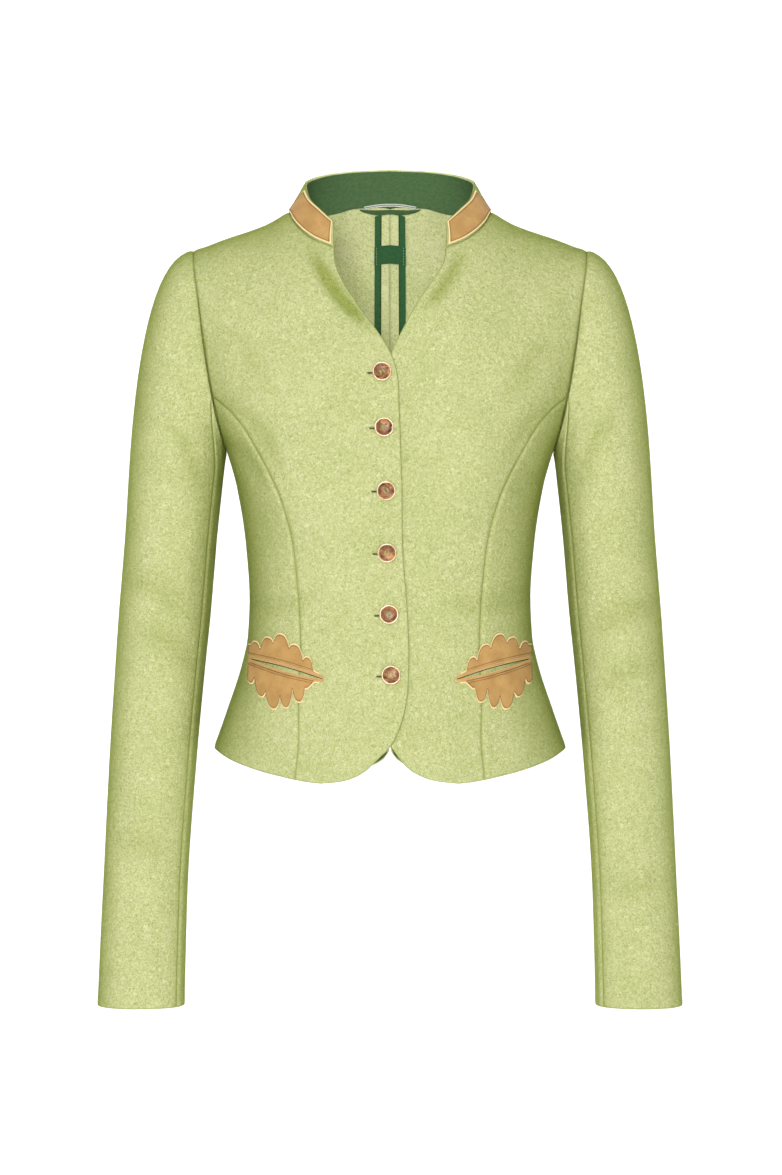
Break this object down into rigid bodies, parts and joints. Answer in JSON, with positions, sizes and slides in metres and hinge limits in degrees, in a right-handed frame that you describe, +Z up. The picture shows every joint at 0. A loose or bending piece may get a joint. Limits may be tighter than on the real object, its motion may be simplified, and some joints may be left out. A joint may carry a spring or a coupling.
{
  "type": "boiled wool jacket",
  "caption": "Fitted hip-length wool jacket in worn hollow form, with stand collar, V opening, suede leaf pockets and buttons",
  "frame": {"origin": "midway between the shoulders, level with the neck points, where a wearer's shoulders carry the jacket", "axes": "+Z up, the front faces -Y, +X towards the wearer's left"},
  "size_m": [0.5214, 0.2352, 0.7552],
  "materials": {
    "wool": "felted matte",
    "suede": "suede",
    "green_cloth": "matte",
    "label_cloth": "satin",
    "loop_ribbon": "satin",
    "horn": "satin",
    "rim_metal": "satin"
  },
  "bodies": {
    "root": {"back_left": "wool", "back_right": "wool", "button_1_horn": "horn", "button_1_rim": "rim_metal", "button_2_horn": "horn", "button_2_rim": "rim_metal", "button_3_horn": "horn", "button_3_rim": "rim_metal", "button_4_horn": "horn", "button_4_rim": "rim_metal", "button_5_horn": "horn", "button_5_rim": "rim_metal", "button_6_horn": "horn", "button_6_rim": "rim_metal", "collar_facing": "green_cloth", "collar_patch_left": "suede", "collar_patch_right": "suede", "collar_stand": "wool", "front_left": "wool", "front_right": "wool", "hanger_loop": "loop_ribbon", "label": "label_cloth", "neck_facing": "green_cloth", "pocket_leaf_lower_left": "suede", "pocket_leaf_lower_right": "suede", "pocket_leaf_upper_left": "suede", "pocket_leaf_upper_right": "suede", "pocket_welt_lower_left": "suede", "pocket_welt_lower_right": "suede", "pocket_welt_upper_left": "suede", "pocket_welt_upper_right": "suede", "seam_allowance_left": "wool", "seam_allowance_right": "wool", "seam_binding_left": "green_cloth", "seam_binding_right": "green_cloth", "side_left": "wool", "side_right": "wool", "sleeve_top_left": "wool", "sleeve_top_right": "wool", "sleeve_under_left": "wool", "sleeve_under_right": "wool", "vent_facing_left": "green_cloth", "vent_facing_right": "green_cloth"}
  },
  "joints": []
}
